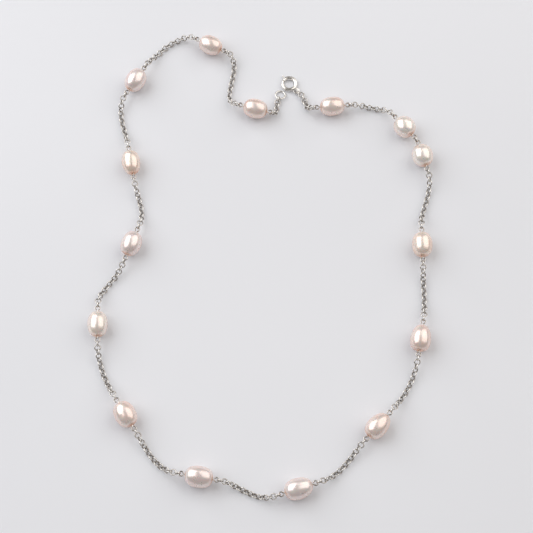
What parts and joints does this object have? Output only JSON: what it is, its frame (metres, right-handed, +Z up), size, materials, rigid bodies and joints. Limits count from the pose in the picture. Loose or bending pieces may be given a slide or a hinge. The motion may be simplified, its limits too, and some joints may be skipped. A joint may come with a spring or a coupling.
{
  "type": "pearl necklace",
  "caption": "Necklace of pale pink freshwater pearls wired at intervals into a round-link silver chain, with a spring-ring clasp, lying in an open loop.",
  "frame": {"origin": "on the table under the middle of the whole loop", "axes": "+X to the wearer's right as laid out, +Y from the front of the loop towards the clasp, +Z up from the table"},
  "size_m": [0.1086, 0.1552, 0.0067],
  "materials": {
    "nacre": "lustrous pale pink nacre",
    "silver": "polished silver",
    "spring_steel": "drawn wire"
  },
  "bodies": {
    "pin_01": {"pearl_pin_01": "silver"},
    "pearl_01": {"pearl_01": "nacre"},
    "pin_02": {"pearl_pin_02": "silver"},
    "pearl_02": {"pearl_02": "nacre"},
    "pin_03": {"pearl_pin_03": "silver"},
    "pearl_03": {"pearl_03": "nacre"},
    "pin_04": {"pearl_pin_04": "silver"},
    "pearl_04": {"pearl_04": "nacre"},
    "pin_05": {"pearl_pin_05": "silver"},
    "pearl_05": {"pearl_05": "nacre"},
    "pin_06": {"pearl_pin_06": "silver"},
    "pearl_06": {"pearl_06": "nacre"},
    "pin_07": {"pearl_pin_07": "silver"},
    "pearl_07": {"pearl_07": "nacre"},
    "pin_08": {"pearl_pin_08": "silver"},
    "pearl_08": {"pearl_08": "nacre"},
    "pin_09": {"pearl_pin_09": "silver"},
    "pearl_09": {"pearl_09": "nacre"},
    "pin_10": {"pearl_pin_10": "silver"},
    "pearl_10": {"pearl_10": "nacre"},
    "pin_11": {"pearl_pin_11": "silver"},
    "pearl_11": {"pearl_11": "nacre"},
    "pin_12": {"pearl_pin_12": "silver"},
    "pearl_12": {"pearl_12": "nacre"},
    "pin_13": {"pearl_pin_13": "silver"},
    "pearl_13": {"pearl_13": "nacre"},
    "pin_14": {"pearl_pin_14": "silver"},
    "pearl_14": {"pearl_14": "nacre"},
    "pin_15": {"pearl_pin_15": "silver"},
    "pearl_15": {"pearl_15": "nacre"},
    "chain_00": {"chain_length_00": "silver"},
    "chain_01": {"chain_length_01": "silver"},
    "chain_02": {"chain_length_02": "silver"},
    "chain_03": {"chain_length_03": "silver"},
    "chain_04": {"chain_length_04": "silver"},
    "chain_05": {"chain_length_05": "silver"},
    "chain_06": {"chain_length_06": "silver"},
    "chain_07": {"chain_length_07": "silver"},
    "chain_08": {"chain_length_08": "silver"},
    "chain_09": {"chain_length_09": "silver"},
    "chain_10": {"chain_length_10": "silver"},
    "chain_11": {"chain_length_11": "silver"},
    "chain_12": {"chain_length_12": "silver"},
    "chain_14": {"chain_length_14": "silver"},
    "chain_15": {"chain_length_15": "silver"},
    "pair_link": {"pair_link": "silver"},
    "end_ring": {"end_ring": "silver"},
    "jump_ring": {"jump_ring": "silver"},
    "clasp": {"clasp_body": "silver", "bolt_spring": "spring_steel"},
    "bolt": {"clasp_bolt": "silver"}
  },
  "joints": [
    {"name": "clasp_trigger", "type": "hinge", "parent": "clasp", "child": "bolt", "pos_m": [0.00827, 0.06069, 0.00062], "axis": [0, 0, -1], "range_deg": [0, 42], "stiffness_Nm_per_rad": 0.0012, "springref_deg": -20.05, "deforming": ["bolt_spring"]},
    {"name": "clasp_swing", "type": "hinge", "parent": "jump_ring", "child": "clasp", "pos_m": [0.01068, 0.05801, 0.00072], "axis": [0, 0, -1], "range_deg": [0, 60]},
    {"name": "jump_ring_swing", "type": "hinge", "parent": "chain_15", "child": "jump_ring", "pos_m": [0.01194, 0.05662, 0.0012], "axis": [0, 0, -1], "range_deg": [0, 40]},
    {"name": "end_ring_swing", "type": "hinge", "parent": "chain_00", "child": "end_ring", "pos_m": [0.00483, 0.05505, 0.0003], "axis": [0, 0, 1], "range_deg": [0, 25]},
    {"name": "chain_00_on_pin_01", "type": "hinge", "parent": "pin_01", "child": "chain_00", "pos_m": [0.00208, 0.04897, 0.0032], "axis": [0, 0, 1], "range_deg": [0, 25]},
    {"name": "pin_01_on_chain_01", "type": "hinge", "parent": "chain_01", "child": "pin_01", "pos_m": [-0.00774, 0.0516, 0.0032], "axis": [0, 0, -1], "range_deg": [0, 25]},
    {"name": "chain_01_on_pin_02", "type": "hinge", "parent": "pin_02", "child": "chain_01", "pos_m": [-0.01324, 0.0715, 0.00314], "axis": [0, 0, -1], "range_deg": [0, 15]},
    {"name": "pin_02_on_chain_02", "type": "hinge", "parent": "chain_02", "child": "pin_02", "pos_m": [-0.02222, 0.07588, 0.00314], "axis": [0, 0, -1], "range_deg": [0, 15]},
    {"name": "chain_02_on_pin_03", "type": "hinge", "parent": "pin_03", "child": "chain_02", "pos_m": [-0.03955, 0.06515, 0.0032], "axis": [0, 0, -1], "range_deg": [0, 15]},
    {"name": "pin_03_on_chain_03", "type": "hinge", "parent": "chain_03", "child": "pin_03", "pos_m": [-0.04491, 0.05623, 0.0032], "axis": [0, 0, -1], "range_deg": [0, 15]},
    {"name": "chain_03_on_pin_04", "type": "hinge", "parent": "pin_04", "child": "chain_03", "pos_m": [-0.04372, 0.03629, 0.00294], "axis": [0, 0, -1], "range_deg": [0, 12]},
    {"name": "pin_04_on_chain_04", "type": "hinge", "parent": "chain_04", "child": "pin_04", "pos_m": [-0.04174, 0.02609, 0.00294], "axis": [0, 0, -1], "range_deg": [0, 12]},
    {"name": "chain_04_on_pin_05", "type": "hinge", "parent": "pin_05", "child": "chain_04", "pos_m": [-0.03998, 0.008, 0.0032], "axis": [0, 0, 1], "range_deg": [0, 15]},
    {"name": "pin_05_on_chain_05", "type": "hinge", "parent": "chain_05", "child": "pin_05", "pos_m": [-0.04348, -0.00162, 0.0032], "axis": [0, 0, 1], "range_deg": [0, 15]},
    {"name": "chain_05_on_pin_06", "type": "hinge", "parent": "pin_06", "child": "chain_05", "pos_m": [-0.05141, -0.01811, 0.00314], "axis": [0, 0, 1], "range_deg": [0, 15]},
    {"name": "pin_06_on_chain_06", "type": "hinge", "parent": "chain_06", "child": "pin_06", "pos_m": [-0.05105, -0.02851, 0.00314], "axis": [0, 0, 1], "range_deg": [0, 15]},
    {"name": "chain_06_on_pin_07", "type": "hinge", "parent": "pin_07", "child": "chain_06", "pos_m": [-0.04448, -0.0474, 0.00326], "axis": [0, 0, 1], "range_deg": [0, 15]},
    {"name": "pin_07_on_chain_07", "type": "hinge", "parent": "chain_07", "child": "pin_07", "pos_m": [-0.03897, -0.05622, 0.00326], "axis": [0, 0, 1], "range_deg": [0, 15]},
    {"name": "chain_07_on_pin_08", "type": "hinge", "parent": "pin_08", "child": "chain_07", "pos_m": [-0.02451, -0.06988, 0.00326], "axis": [0, 0, 1], "range_deg": [0, 15]},
    {"name": "chain_15_on_pin_15", "type": "hinge", "parent": "pin_15", "child": "chain_15", "pos_m": [0.01717, 0.05074, 0.00314], "axis": [0, 0, -1], "range_deg": [0, 35]},
    {"name": "pin_15_on_chain_14", "type": "hinge", "parent": "chain_14", "child": "pin_15", "pos_m": [0.02737, 0.05164, 0.00314], "axis": [0, 0, -1], "range_deg": [0, 35]},
    {"name": "chain_14_on_pin_14", "type": "hinge", "parent": "pin_14", "child": "chain_14", "pos_m": [0.04255, 0.04727, 0.00336], "axis": [0, 0, -1], "range_deg": [0, 30]},
    {"name": "pin_14_on_pair_link", "type": "hinge", "parent": "pair_link", "child": "pin_14", "pos_m": [0.04862, 0.04003, 0.00336], "axis": [0, 0, -1], "range_deg": [0, 30]},
    {"name": "pair_link_on_pin_13", "type": "hinge", "parent": "pin_13", "child": "pair_link", "pos_m": [0.04965, 0.0381, 0.00336], "axis": [0, 0, -1], "range_deg": [0, 25]},
    {"name": "pin_13_on_chain_12", "type": "hinge", "parent": "chain_12", "child": "pin_13", "pos_m": [0.05229, 0.02888, 0.00336], "axis": [0, 0, -1], "range_deg": [0, 25]},
    {"name": "chain_12_on_pin_12", "type": "hinge", "parent": "pin_12", "child": "chain_12", "pos_m": [0.04977, 0.00801, 0.0032], "axis": [0, 0, -1], "range_deg": [0, 20]},
    {"name": "pin_12_on_chain_11", "type": "hinge", "parent": "chain_11", "child": "pin_12", "pos_m": [0.04977, -0.00223, 0.0032], "axis": [0, 0, -1], "range_deg": [0, 20]},
    {"name": "chain_11_on_pin_11", "type": "hinge", "parent": "pin_11", "child": "chain_11", "pos_m": [0.0491, -0.02253, 0.0032], "axis": [0, 0, -1], "range_deg": [0, 15]},
    {"name": "pin_11_on_chain_10", "type": "hinge", "parent": "chain_10", "child": "pin_11", "pos_m": [0.04724, -0.03309, 0.0032], "axis": [0, 0, -1], "range_deg": [0, 15]},
    {"name": "chain_10_on_pin_10", "type": "hinge", "parent": "pin_10", "child": "chain_10", "pos_m": [0.03791, -0.05127, 0.00314], "axis": [0, 0, -1], "range_deg": [0, 15]},
    {"name": "pin_10_on_chain_09", "type": "hinge", "parent": "chain_09", "child": "pin_10", "pos_m": [0.03063, -0.05935, 0.00314], "axis": [0, 0, -1], "range_deg": [0, 15]},
    {"name": "chain_09_on_pin_09", "type": "hinge", "parent": "pin_09", "child": "chain_09", "pos_m": [0.01541, -0.07264, 0.0032], "axis": [0, 0, -1], "range_deg": [0, 15]},
    {"name": "pin_09_on_chain_08", "type": "hinge", "parent": "chain_08", "child": "pin_09", "pos_m": [0.00514, -0.07598, 0.0032], "axis": [0, 0, -1], "range_deg": [0, 15]},
    {"name": "chain_08_on_pin_08", "type": "hinge", "parent": "pin_08", "child": "chain_08", "pos_m": [-0.01395, -0.07174, 0.00326], "axis": [0, 0, -1], "range_deg": [0, 15]},
    {"name": "pearl_01_spin", "type": "hinge", "parent": "pin_01", "child": "pearl_01", "pos_m": [-0.00283, 0.05029, 0.0032], "axis": [-0.9659, 0.2588, 0], "continuous": true},
    {"name": "pearl_02_spin", "type": "hinge", "parent": "pin_02", "child": "pearl_02", "pos_m": [-0.01773, 0.07369, 0.00314], "axis": [-0.8988, 0.4384, 0], "continuous": true},
    {"name": "pearl_03_spin", "type": "hinge", "parent": "pin_03", "child": "pearl_03", "pos_m": [-0.04223, 0.06069, 0.0032], "axis": [-0.515, -0.8572, 0], "continuous": true},
    {"name": "pearl_04_spin", "type": "hinge", "parent": "pin_04", "child": "pearl_04", "pos_m": [-0.04273, 0.03119, 0.00294], "axis": [0.1908, -0.9816, 0], "continuous": true},
    {"name": "pearl_05_spin", "type": "hinge", "parent": "pin_05", "child": "pearl_05", "pos_m": [-0.04173, 0.00319, 0.0032], "axis": [-0.342, -0.9397, 0], "continuous": true},
    {"name": "pearl_06_spin", "type": "hinge", "parent": "pin_06", "child": "pearl_06", "pos_m": [-0.05123, -0.02331, 0.00314], "axis": [0.0349, -0.9994, 0], "continuous": true},
    {"name": "pearl_07_spin", "type": "hinge", "parent": "pin_07", "child": "pearl_07", "pos_m": [-0.04173, -0.05181, 0.00326], "axis": [0.5299, -0.848, 0], "continuous": true},
    {"name": "pearl_08_spin", "type": "hinge", "parent": "pin_08", "child": "pearl_08", "pos_m": [-0.01923, -0.07081, 0.00326], "axis": [0.9848, -0.1736, 0], "continuous": true},
    {"name": "pearl_09_spin", "type": "hinge", "parent": "pin_09", "child": "pearl_09", "pos_m": [0.01027, -0.07431, 0.0032], "axis": [0.9511, 0.309, 0], "continuous": true},
    {"name": "pearl_10_spin", "type": "hinge", "parent": "pin_10", "child": "pearl_10", "pos_m": [0.03427, -0.05531, 0.00314], "axis": [0.6691, 0.7431, 0], "continuous": true},
    {"name": "pearl_11_spin", "type": "hinge", "parent": "pin_11", "child": "pearl_11", "pos_m": [0.04817, -0.02781, 0.0032], "axis": [0.1736, 0.9848, 0], "continuous": true},
    {"name": "pearl_12_spin", "type": "hinge", "parent": "pin_12", "child": "pearl_12", "pos_m": [0.04977, 0.00289, 0.0032], "axis": [0, 1, 0], "continuous": true},
    {"name": "pearl_13_spin", "type": "hinge", "parent": "pin_13", "child": "pearl_13", "pos_m": [0.05097, 0.03349, 0.00336], "axis": [-0.2756, 0.9613, 0], "continuous": true},
    {"name": "pearl_14_spin", "type": "hinge", "parent": "pin_14", "child": "pearl_14", "pos_m": [0.04559, 0.04365, 0.00336], "axis": [-0.6428, 0.766, 0], "continuous": true},
    {"name": "pearl_15_spin", "type": "hinge", "parent": "pin_15", "child": "pearl_15", "pos_m": [0.02227, 0.05119, 0.00314], "axis": [-0.9962, -0.0872, 0], "continuous": true}
  ]
}
